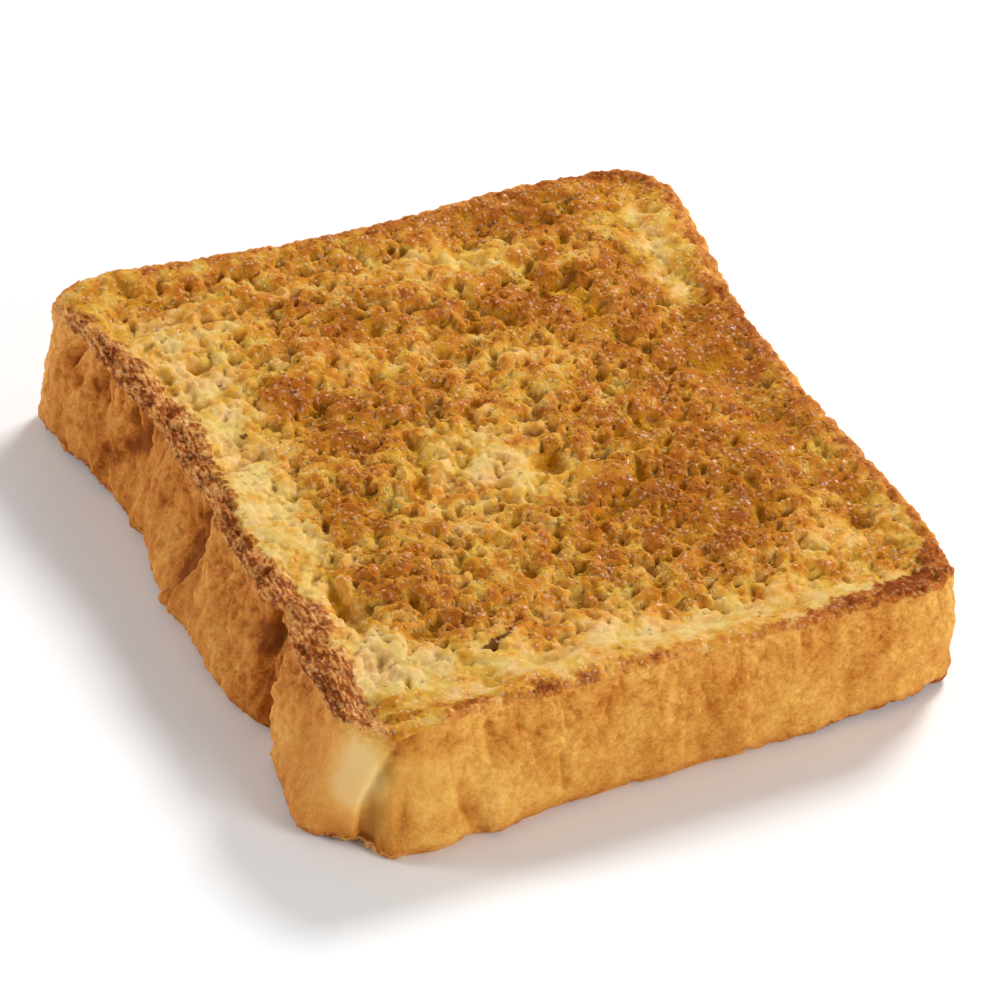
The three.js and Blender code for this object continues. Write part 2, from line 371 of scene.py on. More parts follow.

# %% [markdown]
# ## Browning
# A pan browns what touches it. The slice isn't flat, so it browned in patches: along the back rim, in a
# few dark islands, and in a broad field at the front right. The trough inside the rim never touched the
# pan and stayed yellow. The patches could be painted on the mesh with a brush, but a list of soft
# ellipses can be read and changed.

# %% The patches
EVEN_TONE = 0.61
PATCHES = [
    # x, y, half length, half width, turn, browning (minus keeps it pale)
    (26, 57, 8, 6, 5, 0.55),
    (44, 60, 10, 4, 0, 0.3),
    (5, 60, 22, 3.5, 0, 0.3),
    (-33, 55, 7, 5, 0, 0.22),
    (-17, 46, 4.5, 4, 0, 0.4),
    (-24, 22, 4.4, 3, -50, 1),
    (-22, 18, 6, 4, 0, 0.4),
    (-19, 10, 7, 6, 40, 0.5),
    (-19.5, 7, 2, 1.4, 0, 0.4),
    (-5, 16, 4.5, 7, 0, 0.32),
    (-9, 37, 14, 4.5, 0, 0.3),
    (-9, 39.5, 3, 3, 0, 0.3),
    (21, 34, 11, 6, 5, 0.6),
    (37, 46, 4, 9, 0, 0.22),
    (27, 20, 6, 8, 0, 0.28),
    (31, 12, 3.5, 9, 0, 0.3),
    (43, 16, 8, 13, 0, 0.38),
    (46, 15, 4, 6, 0, 0.25),
    (38, -10, 12, 12, 0, 0.32),
    (14, -3, 9, 7, 0, 0.22),
    (25, 2, 6, 5, 0, 0.3),
    (24, -24, 14, 12, -15, 0.46),
    (29, -30, 4, 7, 0, 0.3),
    (24, -38, 4, 3, 0, 0.35),
    (21.5, -14, 2.4, 2.2, 0, 0.3),
    (16, -22, 2.2, 3, 0, 0.3),
    (9, -20, 6, 3.5, 0, 0.3),
    (2, -33, 9, 6, 0, 0.2),
    (-28, -7, 5, 6, 0, 0.42),
    (-31, -27, 6, 10, 10, 0.22),
    (-29, -30, 2, 4, 20, 0.25),
    (-22, -40, 8, 5, 15, 0.34),
    (-24, -24, 5, 10, 0, 0.2),
    (14, -41, 8, 4, 0, 0.16),
    (-3, -5, 7, 8, 25, -0.4),
    (3, -11, 7, 3, -20, -0.35),
    (-38, 2, 5, 34, 0, -0.62),
    (43.8, 51, 1.6, 7, 0, -0.42),
    (43, 40, 3, 7, 0, -0.35),
    (42.5, 31, 1.8, 4, 0, -0.5),
    (38, -41, 9, 5, 12, -0.22),
    (43, -34, 3, 2, 0, 0.3),
    (43, -46, 2.5, 3, 0, 0.3),
    (-35, -46, 7, 6, 0, -0.7),
    (0, -53, 42, 4.5, 0, -0.5),
    (13, 50, 9, 6, 0, -0.32),
    (-32, 40, 9, 14, 0, -0.22),
    (-12, 25, 8, 4, 0, -0.15),
    (17, 21, 6, 3, 20, -0.2),
    (12, -14, 4.2, 4, 0, -0.2),
    (-40, -55, 7, 3, 0, 0.3),
]


def from_middle(centre_x, centre_y, long, wide, turn):
    """The square of each point's distance from an ellipse's middle: 1 on the ellipse."""
    cos, sin = math.cos(math.radians(turn)), math.sin(math.radians(turn))
    along = (x - centre_x) * cos + (y - centre_y) * sin
    across = (y - centre_y) * cos - (x - centre_x) * sin
    return (along / long) ** 2 + (across / wide) ** 2


def ellipses(patches):
    """Sums soft ellipses over the plan of the slice."""
    total = np.zeros(len(x))
    for *ellipse, amount in patches:
        total += amount * np.exp(-from_middle(*ellipse) * 0.8)
    return total


toast = EVEN_TONE + ellipses(PATCHES) * 0.58
print("browning runs from", round(float(toast.min()), 2), "to", round(float(toast.max()), 2))

# %% [markdown]
# ## The rim band
# Along the left side the crust curls over the face as a brown, grainy band with a ragged inner
# edge. At the front and the right the band is a thin line. One width all round would look like a
# drawn border, so the width is a short list, read along each side.

# %% The band of browned rim
LEFT_BAND = [
    # y, width
    (-63, -1.5), (-58.5, 4), (-54, 6.5), (-50, 7), (-42, 7), (-32, 6), (-22, 4.8), (-8, 3.2),
    (5, 3.4), (18, 5.4), (34, 6), (46, 3.8), (56, 3), (62, 0),
]
FRONT_BAND = [
    (-50, -1.6), (-37, -1), (-31, 2.8), (-26, 2.6), (-22, 1), (-15, 2.8), (-8, 0.8), (1, 2.2),
    (8, 1.2), (13, -0.4), (20, 1.4), (32, 4), (40, 6), (54, 7),
]
SIDE_LEFT = smooth_step(-x, 34, 42)
SIDE_FRONT = smooth_step(-y, 44, 54) * (1 - SIDE_LEFT)


def width_along(place, widths):
    places, values = zip(*widths)
    return np.interp(place, places, values)


band_width = SIDE_LEFT * width_along(y, LEFT_BAND) + SIDE_FRONT * width_along(x, FRONT_BAND)
band_width += (1 - SIDE_LEFT - SIDE_FRONT) * 2.4
RIM_TONES = [
    # x, y, half length, half width, turn, browning
    (-47, -53, 3, 5, 0, 0.3),
    (-48, 20, 4, 26, 0, 0.04),
    (47, -53, 8, 5, 30, 0.38),
    (-43, -62, 7, 4, 0, -0.5),
    (33, -58, 10, 3, 0, 0.2),
    (-30, -60, 5, 3, 0, 0.25),
    (-17, -60, 4, 3, 0, 0.2),
    (14, -59, 6, 3, 0, -0.15),
    (47, 15, 4, 8, 0, 0.2),
    (40, 60, 12, 5, 0, 0.12),
    (-46, 58, 7, 6, 0, -0.3),
    (50, 52, 4, 8, 0, -0.1),
    (-38, -60, 6, 3, 0, -0.15),
]
rim_toast = 0.56 + SIDE_LEFT * 0.12 + ellipses(RIM_TONES)
store(bread, "band", band_width - gap)
store(bread, "toast", toast)
store(bread, "rim_toast", rim_toast)

# %% [markdown]
# ## The walls' tone
# The crust was baked before it was fried. It is golden at the front, browner along the left side,
# darker along the base, and pale at the corners, where the pan's heat didn't reach. A wall has no
# plan to draw ellipses on, so soft balls in space mark these places. A second list of balls
# swells the wall or draws it in. Not all of this is chosen by hand: the small balls in the folds,
# and the two long creases at the front left corner further on, have their places from another
# program, which shot rays at the finished slice.

# %% The walls' tone and swellings
WALL_TONES_AND_FOLD_SHADE = [
    # x, y, z, radius, browning (minus keeps it pale)
    (-45.5, -60, 16, 5.5, -0.6),
    (-46.3, -59.8, 10.5, 3.8, -0.45),
    (-44.5, -62, 5.5, 3.2, -0.3),
    (-42, -63, 12, 3.5, -0.08),
    (40, -58, 11, 7, 0.12),
    (54, -51, 11, 5, -0.2),
    (-50, 60, 12, 9, -0.2),
    (-50, -42, 10, 8, -0.1),
    (-50, 45, 4, 10, 0.12),
    (-48, 22, 14, 9, 0.1),
    (-51, -2, 10, 7, 0.08),
    (-50, -24, 3, 8, 0.12),
    (8, -61, 3, 6, 0.08),
    (-36, -63, 13, 8, -0.14),
    # From here on the balls sit on the flanks of the left wall's folds: their browning is painted shade,
    # darkening the pockets where the folds' shadow falls.
    (-46, 3, 17, 1.7, 0.55),
    (-46, 4.8, 12, 1.8, 0.5),
    (-48.5, 4, 8, 2.2, 0.4),
    (-45.5, -24.2, 14.8, 2.3, 0.6),
    (-46.5, -25, 12, 2, 0.4),
    (-47, -27, 8.5, 1.6, 0.35),
    (-46.4, 29, 15.3, 2.4, 0.45),
    (-47.8, 32.5, 11, 2.6, 0.25),
    (-49.3, 37, 7.5, 3, 0.2),
    (-49.2, 43.2, 17, 2, 0.3),
    (-50.5, 51.4, 15.5, 2.5, 0.25),
    (-47.5, 31.5, 18, 1.4, 0.3),
]
SWELLS = [
    # x, y, z, radius, how far out (minus is in)
    (-49, -4.2, 19, 4.4, 1.7),
    (-50, -32, 14, 4.5, 0.7),
    (-50, -26, 17, 3, -1.8),
    (-50, 27.5, 17, 3, -0.8),
    (-50, 17, 2, 9, 1.2),
    (-51, 4, 2, 6, 0.8),
    (-52, 45, 2, 9, -1.4),
    (-53, -56, 3, 4, 0.7),
    (-50, -60, 0, 5, -2),
    (-51, -48, 10, 6, -1.7),
    (-42, 64, 19, 8, 1.6),
    (24, 66, 19, 20, 0.7),
    (50, 45, 18, 12, 0.6),
    (52, 6, 19, 8, 1.1),
    (-31, -63, 2, 4, 0.8),
    (-18, -62, 2, 4, 0.7),
    (-54, 58, 10, 7, -0.6),
    (54, -52, 14, 7, -0.8),
    (40, -58, 1, 12, -1.1),
]


def balls(patches):
    """Sums soft balls in space."""
    total = np.zeros(len(x))
    for centre_x, centre_y, centre_z, radius, amount in patches:
        far = (x - centre_x) ** 2 + (y - centre_y) ** 2 + (z - centre_z) ** 2
        total += amount * np.exp(-far / radius ** 2)
    return total


# This tone holds painted shade too: the fold balls darken the pockets behind the folds.
wall_toast = 0.5 + SIDE_LEFT * 0.08 + balls(WALL_TONES_AND_FOLD_SHADE) + smooth_step(-z, -3.0, -0.5) * 0.15
SLEEK = [(-48, -60, 13, 8, 0.9), (-38, -61, 13, 7, 0.7), (-51, -48, 12, 7, 0.6), (-46, -61, 3, 6, 0.8)]
store(bread, "wall_toast", wall_toast)
hem = smooth_step(normals[:, 2], -0.99, -0.85) * smooth_step(-normals[:, 2], 0.1, 0.5)
hem = hem * smooth_step(-z, -4, -2)
store(bread, "sleek", np.clip(balls(SLEEK), 0, 0.95))
store(bread, "hem", spread(bread, hem, 3))
store(bread, "swell", balls(SWELLS))
print("balls on the walls:", len(WALL_TONES_AND_FOLD_SHADE), "of tone,", len(SWELLS), "of swelling")

# %% [markdown]
# ## Pits
# The bread's biggest bubbles were cut open by the knife. They stay as pits a few millimetres wide, whose
# walls never met the pan: they keep the egg's deep yellow. In the material that yellow also holds painted
# shade, and turns lighter where a pit is deepest, painted light against its shadow. Cutting them out with
# boolean tools would leave sharp seams, so ellipses say where the surface sinks.

# %% The pits
PITS = [
    # x, y, half length, half width, turn, depth
    (5.8, -7, 2, 3, 8, 2),
    (-1, -7.5, 6, 2.6, -28, 0.6),
    (-4.5, -42, 2.2, 1.8, 0, 2.6),
    (-36.2, -26.5, 1.1, 3.4, -8, 2),
    (-35.8, -34.5, 1.7, 3, 0, 1.4),
    (-26.3, -33.5, 1.1, 2.2, 0, 1.7),
    (-27.5, -40.5, 3.4, 1.8, 5, 1.3),
    (-34.2, -51.5, 1, 1.8, -10, 0.9),
    (-36.8, -49, 1.4, 2.4, 0, 0.6),
    (-15, -6, 1.1, 3, -5, 2.2),
    (-6, -20.5, 2, 1, 0, 1.6),
    (26, 37.5, 2.2, 2, 0, 2),
    (-7, 34.5, 1.7, 1.2, 0, 1.5),
    (-19.5, -24, 1.6, 1.8, 0, 1.4),
    (-7.5, -33, 1.8, 1.8, 0, 1.3),
    (-27, 47, 2, 1.2, 20, 1.2),
    (-36, 36, 1.6, 1.4, 0, 1.1),
    (17.4, -14.3, 0.8, 3.2, -14, 2),
    (10.8, -22, 3.8, 1.2, 8, 1.9),
    (24.2, -1.5, 2.6, 2.2, 0, 1.5),
    (27, 31, 3, 3, 0, 1.2),
    (30, 48.5, 1.6, 4, -20, 1.2),
    (32.3, -22, 1.6, 2, 0, 1.5),
    (-23.5, 30, 1.4, 1.6, 0, 1.2),
    (-20.5, 33.5, 1, 1.4, 0, 1.3),
    (-24.5, 16.5, 2.4, 1.8, 0, 1),
    (-19, 14, 1.6, 1.8, 0, 1.3),
    (-12, -1, 2.6, 2, 0, 1.1),
    (28, 21, 1, 2, 0, 1.4),
    (-2, 6, 1.4, 2.6, -20, 1.5),
    (-41, 12, 1, 1.6, 0, 0.9),
    (-44, 50, 1.3, 2.4, 0, 1.2),
    (7, -25, 1, 1.6, 10, 1.2),
    (30, -31, 1, 1.8, 0, 1.4),
    (22, 42, 1.2, 1.8, 0, 1.2),
    (-20, 46, 1, 1.6, 0, 1.2),
    (31, 16, 1.2, 1.8, 0, 1.2),
    (-12, 3, 1.6, 1.4, 0, 1.2),
]
store(bread, "pit", ellipses(PITS))
print("pits:", len(PITS))

# %% [markdown]
# ## Flats, calm ground and charred flecks
# Where a lump met the pan it was pressed flat, and the biggest of these flats stand a little over the
# crumb with steep sides. Close to the rim the ground is calmer: there the crumb is thin over the crust,
# so it fried smooth. A few flecks of egg stuck to the pan and burned black. All three are given one by
# one, because noise alone would make the whole face look the same.

# %% Flats, calm ground and charred flecks
FLATS = [
    # x, y, half length, half width, turn, height
    (12, -14.2, 3.8, 3.6, -8, 1.3),
    (-19, 11, 3.2, 4.2, 20, 0.6),
    (25, 24, 3, 3, 0, 0.5),
    (16, -21, 3, 2.4, 0, 0.5),
    (-6, 36, 4, 2.4, 0, 0.5),
    (40, 8, 4, 7, 0, 0.5),
    (39, -14, 4, 5, 0, 0.45),
    (-27, 22, 2.4, 2.6, 0, 0.5),
    (26, -29, 4, 3.6, 0, 0.5),
    (3, 28, 2.8, 2.2, 0, 0.45),
    (-29, -12, 2.4, 3.6, 0, 0.45),
    (-10, -36, 3, 2.2, 0, 0.4),
]


def flat_tops(places):
    """The highest of some ellipses with flat tops and steep sides."""
    height = np.zeros(len(x))
    for *ellipse, amount in places:
        far = np.sqrt(from_middle(*ellipse))
        height = np.maximum(height, amount * smooth_step(-far, -1.5, -0.6))
    return height


CHARRED = [
    # x, y, half length, half width, turn, how black
    (-20.2, -48.6, 1.1, 0.5, 10, 1.3),
    (-18.4, -47.5, 1.2, 0.6, 20, 1.3),
    (-16.2, -46.4, 0.8, 0.4, 35, 1),
    (-14.6, -44.8, 1, 0.3, 50, 0.8),
    (-13, -43, 1.1, 0.3, 60, 0.8),
    (-20.3, 6.3, 0.6, 1, 0, 0.7),
    (-15.6, 2.8, 0.5, 0.9, 0, 0.8),
    (-5.4, 9, 0.5, 1, 10, 0.7),
    (28, -19, 0.5, 1.6, 20, 0.7),
    (31, -33, 0.6, 1.6, 10, 0.6),
    (16, -21, 0.5, 1.2, 10, 0.6),
    (-35, 16, 0.6, 1.3, 20, 1),
    (-34, 30, 0.7, 0.5, 0, 0.9),
    (-36.5, 13.5, 0.5, 0.9, 0, 0.8),
    (9, 12, 0.6, 0.9, 0, 0.7),
    (-47.5, -55.5, 1.6, 1.6, 0, 0.8),
    (2, -42.5, 0.5, 0.5, 0, 0.8),
    (-31, -57, 0.5, 0.5, 0, 0.8),
    (-38, -55.5, 0.5, 0.4, 0, 0.7),
    (24, -31, 0.6, 1.4, 20, 0.6),
    (-25, 22, 1, 1.4, 30, 0.7),
]
calm = smooth_step(-x, 39.5, 43.5) * 0.65 + smooth_step(-y, 48.5, 52) * 0.6 + smooth_step(y, 55, 61) * 0.5
calm = np.maximum(calm, smooth_step(x, 33, 40) * 0.35)
store(bread, "flat", flat_tops(FLATS) * top)
store(bread, "calm", np.clip(calm, 0, 0.8))
store(bread, "char", ellipses(CHARRED))
print("flats:", len(FLATS), "charred flecks:", len(CHARRED))

# %% [markdown]
# ## Creases in the crust
# The crust is a skin. As the soaked crumb sank, the skin folded into upright creases, deep ones
# at the left side and short ones at the front. They could be sculpted, but then every change
# would start again. Here each is a bent line on the wall, with one steep and one gentle flank.

# %% The creases
LEFT_CREASES = [
    # line over (y, z), depth, steep half width, gentle half width, and on which side it is gentle
    ([(-1, 23), (0, 18), (0, 13), (1, 10)], 1.6, 0.4, 1.5, 1),
    ([(1, 10), (3, 5)], 1.5, 0.4, 3, 1),
    ([(-28.6, 21), (-28, 18), (-26.5, 14)], 1.8, 0.4, 2.4, 1),
    ([(-26.5, 14), (-28, 8), (-30, 3)], 0.9, 0.4, 1.4, 1),
    ([(25.5, 20), (26.5, 16)], 2, 0.8, 2, 1),
    ([(26.5, 16), (31, 11), (38, 5)], 1, 1.2, 3.4, 1),
    ([(24, 10), (23, 3)], 0.7, 0.6, 1.2, -1),
    ([(39.5, 23), (40, 16)], 1.6, 0.5, 1.6, 1),
    ([(30, 22), (29.5, 17)], 1.4, 0.5, 1.3, 1),
    ([(34.5, 21), (35, 17)], 0.9, 0.4, 0.9, 1),
    ([(47.5, 22), (50, 17)], 1.4, 0.5, 1.5, 1),
    ([(48, 15), (52, 9), (50, 2)], 0.7, 1.2, 2.6, 1),
    ([(38, 8), (37, 4)], 1, 0.8, 1.6, 1),
    ([(-38, 19), (-34, 12)], 0.5, 0.4, 1, 1),
    ([(-44, 20), (-39, 13)], 0.5, 0.4, 1, 1),
    ([(12, 18), (17, 10)], 0.5, 0.6, 1.6, 1),
    ([(-12, 18), (-8, 11)], 0.4, 0.6, 1.6, 1),
]
FRONT_CREASES = [
    ([(-31, 10), (-30, 5), (-28, 1)], 0.9, 0.8, 1.4, 1),
    ([(-26.5, 19), (-25.5, 13)], 0.8, 0.4, 1, 1),
    ([(-14, 20), (-13.5, 15)], 0.8, 0.4, 0.9, 1),
    ([(-14.5, 10), (-14.3, 5)], 0.9, 0.4, 0.9, 1),
    ([(3, 20), (2, 16)], 0.8, 0.4, 0.9, 1),
    ([(8.5, 16), (9.8, 11)], 0.5, 0.4, 0.9, -1),
    ([(28.5, 19), (27.5, 12)], 0.5, 1, 1.6, 1),
    ([(38.5, 20), (38, 13)], 0.6, 0.9, 1.2, 1),
    ([(-40.2, 21), (-42.2, 16.6), (-44.1, 12.6), (-45.6, 9), (-46.2, 3)], 1.4, 0.25, 4.5, 1),
    ([(-39.4, 20), (-39.3, 15), (-39.6, 9.5), (-40.4, 4)], 0.8, 0.3, 4, -1),
    ([(-22, 21), (-21, 17)], 0.5, 0.4, 0.8, 1),
    ([(-6, 19), (-7, 15)], 0.5, 0.4, 0.9, 1),
    ([(17, 15), (17, 10)], 0.4, 0.5, 1, 1),
]


def crease_depth(along, creases):
    """How deep the creases cut at each point of a wall."""
    total = np.zeros(len(along))
    for line, depth, steep, gentle, gentle_side in creases:
        best = np.full(len(along), 99.0)
        side = np.zeros(len(along))
        for (along_a, z_a), (along_b, z_b) in zip(line, line[1:]):
            step, rise = along_b - along_a, z_b - z_a
            share = ((along - along_a) * step + (z - z_a) * rise) / (step * step + rise * rise)
            share = np.clip(share, 0, 1)
            aside = along - along_a - share * step
            far = np.hypot(aside, z - z_a - share * rise)
            nearer = far < best
            best[nearer] = far[nearer]
            side[nearer] = np.sign(aside[nearer])
        half = np.where(side == gentle_side, gentle, steep)
        total = np.maximum(total, depth * np.exp(-((best / half) ** 2)))
    return total


on_left = smooth_step(-x, 38, 42) * smooth_step(-normals[:, 0], 0.2, 0.5)
on_front = smooth_step(-y, 50, 53) * smooth_step(-normals[:, 1], 0.2, 0.5)
crease = on_left * crease_depth(y, LEFT_CREASES) + on_front * crease_depth(x, FRONT_CREASES)
store(bread, "crease", crease)
print("deepest crease:", round(float(crease.max()), 1), "mm")

# %% [markdown]
# ## Geometry Nodes, written in Python
# The slice has thousands of lumps, holes and wrinkles, all made by a few rules. They could be
# sculpted by hand, which is slow and hard to change later. A Geometry Nodes tree makes them
# all at once, and its named inputs change their sizes. Each tree ends in the same way: instances
# are made real, the material is set, and the result is baked into a plain mesh.

# %% Helpers for geometry trees
def geometry_tree(name, inputs):
    group = bpy.data.node_groups.new(name, "GeometryNodeTree")
    group.interface.new_socket("Geometry", in_out="INPUT", socket_type="NodeSocketGeometry")
    for title, (kind, value) in inputs.items():
        socket = group.interface.new_socket(title, in_out="INPUT", socket_type=kind)
        if value is not None:
            socket.default_value = value
    group.interface.new_socket("Geometry", in_out="OUTPUT", socket_type="NodeSocketGeometry")
    tree = Tree(group)
    return group, tree, tree.node("NodeGroupInput")


def keep(tree, geometry, name, value):
    """Stores a number on every point."""
    settings = {"data_type": "FLOAT", "domain": "POINT"}
    sockets = {"Geometry": geometry, "Name": name, "Value": value}
    return tree.node("GeometryNodeStoreNamedAttribute", settings, sockets)["Geometry"]


def finish_tree(tree, geometry, material):
    geometry = tree.node("GeometryNodeRealizeInstances", None, {"Geometry": geometry})["Geometry"]
    sockets = {"Geometry": geometry, "Material": material}
    geometry = tree.node("GeometryNodeSetMaterial", None, sockets)["Geometry"]
    tree.node("NodeGroupOutput", None, {"Geometry": geometry})


def run_tree(piece, group, values):
    modifier = piece.modifiers.new(group.name, "NODES")
    modifier.node_group = group
    for item in group.interface.items_tree:
        if item.in_out == "INPUT" and item.name in values:
            modifier[item.identifier] = values[item.name]
    return baked(piece)


# %% [markdown]
# ## Lumps of four sizes
# Egg-soaked crumb fries into lumps: soft ones a few millimetres wide, curds on them, and grains
# and grit on those. Scattered balls would never join into bread, and plain noise has no lumps.
# Cells with rounded tops, bent out of line by noise, give lumps that touch each other.

# %% What every part of the surface shares
def bent_place(tree, place, size, reach, seed):
    """The place pushed about by noise, so that what is drawn on it isn't regular."""
    bend = tree.vector("SUBTRACT", tree.noise(place, size, 2, seed, "Color"), (0.5, 0.5, 0.5))
    return tree.vector("MULTIPLY_ADD", bend, (reach, reach, reach), place)


class Ground:
    """Each point's place in mm, its stored numbers, and the lumps of four sizes."""

    STORED = "top bottom gap toast pit sleek flat calm crease swell"

    def __init__(self, tree):
        self.place = tree.scaled(tree.node("GeometryNodeInputPosition")[0], 1 / MM)
        for name in self.STORED.split():
            setattr(self, name, tree.named(name))
        self.face = (self.top + self.bottom).least(1.0)
        self.inside = self.gap.between(1.5, 5.5) * self.face
        self.pan = self.toast.between(0.35, 0.65)
        self.bent = bent_place(tree, self.place, 3.0, 1.7, 1)
        self.lumps = tree.domes(self.bent, 4.2, 3, 0.35)
        self.curds = tree.rounded(tree.domes(self.bent, 2.1, 5, 0.3))
        self.grains = tree.rounded(tree.domes(self.place, 1.0, 7, 0.1))
        self.grit = tree.noise(self.place, 0.8, 1, 9)


# %% [markdown]
# ## Holes in the crumb
# Bread is full of bubbles. The knife cut some open, and the pan tore holes between the lumps.
# Real cut-outs would leave thousands of tiny walls to mend, so the holes only sink the surface.
# The tree takes the listed pits too, and gnaws at their edges with noise.

# %% Holes and pits
def holes(tree, on, hole_depth):
    """How deep the holes between the lumps are, and 1 where a point is in a pit."""
    torn = tree.noise(on.bent, 3.4, 1.5, 11).between(0.57, 0.64)
    bubbles = tree.bubbles(on.place, 2.6, 0.32, 0.42, 13)
    specks = tree.bubbles(on.place, 1.5, 0.28, 0.42, 17)
    holed = (torn * hole_depth + bubbles * 0.35 + specks * 0.15) * (on.pan * 0.5 + 0.5)
    ragged = (on.pit + (tree.noise(on.place, 1.5, 1, 15) - 0.5) * 0.8 * on.pit.least(1.0)) * on.top
    return holed, ragged.between(0.35, 1.0)


# %% [markdown]
# ## The crumb's height
# The lumps that stood highest met the pan and were pressed flat, more so where it browned them.
# So the height is cut off at a plateau, softly. The small grains are kept apart, because the browning
# follows the broad lumps and not the grit on them. The height stored for the colours takes the grains
# away again, so that their tips come out paler: a painted highlight on each grain.

# %% The crumb
def crumb_height(tree, on, given, holed, in_pit):
    """How high the crumb is, the part of it that is fine grain, and 1 down between the lumps."""
    big = on.lumps * given["Lump height"] * (on.pan * 0.5 + 0.5) + on.curds * given["Curd height"]
    small = on.grains * given["Grain height"] + on.grit * 0.3
    raised = (big - 1.4 - on.pan * 0.6) * (on.pan * 0.35 + 0.55) + small - 0.1
    plateau = 0.40 + (tree.noise(on.place, 4.0, 1, 19) - 0.5) * 1.2 + (on.grains - 0.5) * 0.3
    flat = raised.least(plateau)
    crumb = flat + (raised - flat) * (1 - on.pan * 0.6)
    hollow = (holed * 0.8 - (crumb - small * 1.3) * 0.4).between(0.05, 0.9) * on.inside
    on_flat = on.flat.between(0.1, 0.35)
    crumb = crumb * (1 - on_flat * 0.65) * (1 - on.calm) * (1 - in_pit * 0.5) + on.flat
    return crumb, small, hollow


# %% [markdown]
# ## The rim's height
# The rim is crust seen from its edge: knobbly on the right, finely wrinkled across on the left,
# and stepped in low ledges along the front. Stretching the place before the noise is drawn on it
# turns round blobs into ledges and wrinkles, with no line drawn by hand.

# %% The rim
def rim_height(tree, on):
    """The ledges on the calm ground, and the grain of the rim."""
    apart = tree.split(bent_place(tree, on.place, 5.0, 1.5, 29))
    ledges = tree.noise(tree.joined(apart["X"] * 0.16, apart["Y"], apart["Z"]), 1.8, 1.5, 31) - 0.5
    ledges = ledges * 2.0 * on.calm * apart["Y"].between(-50, -46, 1.0, 0.0)
    knobs = apart["X"].between(41, 48, 0.5, 1.2)
    wrinkles = tree.noise(tree.joined(apart["X"], apart["Y"] * 0.25, apart["Z"]), 1.3, 2, 33) - 0.5
    wrinkles = wrinkles * apart["X"].between(-42, -38, 3.2, 0.0)
    grain = (on.grains - 0.7) * 0.45 + (on.curds - 0.7) * knobs + (on.grit - 0.5) * 0.3
    return ledges, grain + wrinkles + 0.1


# %% [markdown]
# ## The crust's height
# The crust is a skin with fine upright folds between the deep creases. Where noise crosses its
# middle value it draws thin lines, and on a place squeezed in height those lines run upright:
# they make the folds. A cloth simulation could fold the skin too, but wouldn't put them here.

# %% The crust
def skin_height(tree, on, fold_depth):
    """How high the crust's skin is, and 1 in its fine folds."""
    parts = tree.split(bent_place(tree, on.place, 6.0, 2.0, 27))
    lean = parts["Z"] * 0.4
    upright = tree.joined(parts["X"] + lean, parts["Y"] + lean, parts["Z"] * 0.22)
    fold = (tree.noise(upright, 2.6, 1.5, 21) - 0.5).size().between(0.0, 0.06, 1.0, 0.0)
    pucker = tree.noise(upright, 2.2, 2, 23) - 0.5
    high_up = parts["Z"].between(2.0, 19.0, 0.2, 1.0)
    rough = 1 - on.sleek
    skin = pucker * parts["Y"].between(-57, -50, 0.7, 2.3) * rough + (on.grit - 0.5) * 0.2
    skin = skin - fold * fold_depth * high_up * rough
    edge = parts["Z"].between(19.0, 21.5) * 0.5 + parts["Z"].between(0.8, 2.6, 1.0, 0.0)
    skin = skin + edge.least(1.0) * rough * ((on.grains - 0.7) * 0.4 + (on.curds - 0.7) * 0.5)
    return skin - on.crease, fold * high_up * (1 - on.face) * rough


# %% [markdown]
# ## The surface as a whole
# The heights are joined and each point is moved along its normal. A small sideways shove makes
# the lumps overhang a little, which a height alone can't do. The underside only sinks, so that
# the slice still lies flat. The tree also writes down how high and how deep each point is,
# because the browning needs it.

# %% The surface's tree
SURFACE_SIZES = {
    "Lump height": ("NodeSocketFloat", 1.5),
    "Curd height": ("NodeSocketFloat", 1.5),
    "Grain height": ("NodeSocketFloat", 0.5),
    "Hole depth": ("NodeSocketFloat", 1.2),
    "Fold depth": ("NodeSocketFloat", 0.35),
    "Material": ("NodeSocketMaterial", None),
}


def surface_tree():
    group, tree, given = geometry_tree("surface", SURFACE_SIZES)
    on = Ground(tree)
    holed, in_pit = holes(tree, on, given["Hole depth"])
    sink = holed * on.inside * (1 - on.calm) * (1 - on.flat.between(0.1, 0.35) * 0.8)
    sink = sink + in_pit * (on.pit.most(0.0) * 0.9 + 0.3)
    crumb, small, hollow = crumb_height(tree, on, given, holed, in_pit)
    ledges, rim_grain = rim_height(tree, on)
    crumb = (crumb + ledges) * on.inside + rim_grain * (on.face - on.inside).most(0.0) - sink
    skin, fold = skin_height(tree, on, given["Fold depth"])

    height = crumb * on.face + skin * (1 - on.face) + on.swell * (1 - on.top * 0.4)
    height = height * (1 - on.bottom) + height.least(0.0) * on.bottom
    shove = tree.vector("SUBTRACT", tree.noise(on.place, 1.5, 1, 25, "Color"), (0.5, 0.5, 0.5))
    shove = tree.vector("MULTIPLY", tree.scaled(shove, on.inside * on.top * 0.9), (1.0, 1.0, 0.3))
    offset = tree.vector("ADD", tree.scaled(tree.node("GeometryNodeInputNormal")[0], height), shove)

    geometry = keep(tree, given["Geometry"], "sunk", sink)
    # Painted highlight: the grains count against the stored height, so their tips are painted paler.
    geometry = keep(tree, geometry, "raised", crumb - small * 1.3 * on.inside)
    geometry = keep(tree, geometry, "pitted", in_pit)
    geometry = keep(tree, geometry, "hollow", hollow)
    geometry = keep(tree, geometry, "fold", fold)
    sockets = {"Geometry": geometry, "Offset": tree.scaled(offset, MM)}
    geometry = tree.node("GeometryNodeSetPosition", None, sockets)["Geometry"]
    finish_tree(tree, geometry, given["Material"])
    return group


# %% [markdown]
# ## The colour of fried bread
# The yellow is egg, the brown is egg and sugar that met the pan. Three ramps turn a tone into a
# colour, for the crumb, the rim and the walls. A painted image could hold the colours too, but it
# would have one fixed sharpness. Noise and cells in the material stay sharp from close by.

